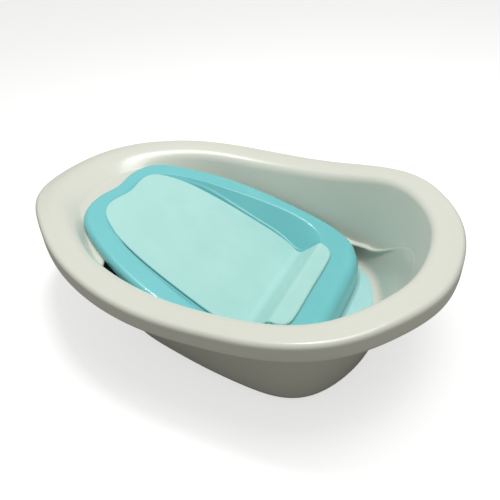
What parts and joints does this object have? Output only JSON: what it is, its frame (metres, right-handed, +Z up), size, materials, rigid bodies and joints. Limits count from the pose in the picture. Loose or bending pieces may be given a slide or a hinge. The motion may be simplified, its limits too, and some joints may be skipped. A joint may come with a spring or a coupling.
{
  "type": "baby bathtub",
  "caption": "Newborn-to-toddler baby bathtub with a wide rolled rim, a lift-out reclined seat, soft seat and floor pads and a push-in drain plug",
  "frame": {"origin": "centre of the tub's box in plan, on the surface that the tub stands on", "axes": "+X along the tub's length towards the foot end (the round bowl), +Y across its width, +Z up"},
  "size_m": [0.74, 0.5274, 0.2082],
  "materials": {
    "cream_shell": "smooth glossy moulded plastic",
    "teal_seat": "satin moulded plastic",
    "aqua_seat_pad": "matte soft foam skin",
    "aqua_floor_pad": "matte soft non-slip skin",
    "white_plug": "smooth rubber"
  },
  "bodies": {
    "tub": {"tub_shell": "cream_shell", "floor_pad": "aqua_floor_pad"},
    "seat": {"infant_seat": "teal_seat", "seat_pad": "aqua_seat_pad"},
    "plug": {"drain_plug": "white_plug"}
  },
  "joints": [
    {"name": "seat_lift", "type": "slide", "parent": "tub", "child": "seat", "axis": [0, 0, 1], "range_m": [0, 0.25]},
    {"name": "plug_pull", "type": "slide", "parent": "tub", "child": "plug", "axis": [0, 0, 1], "range_m": [0, 0.03]}
  ]
}
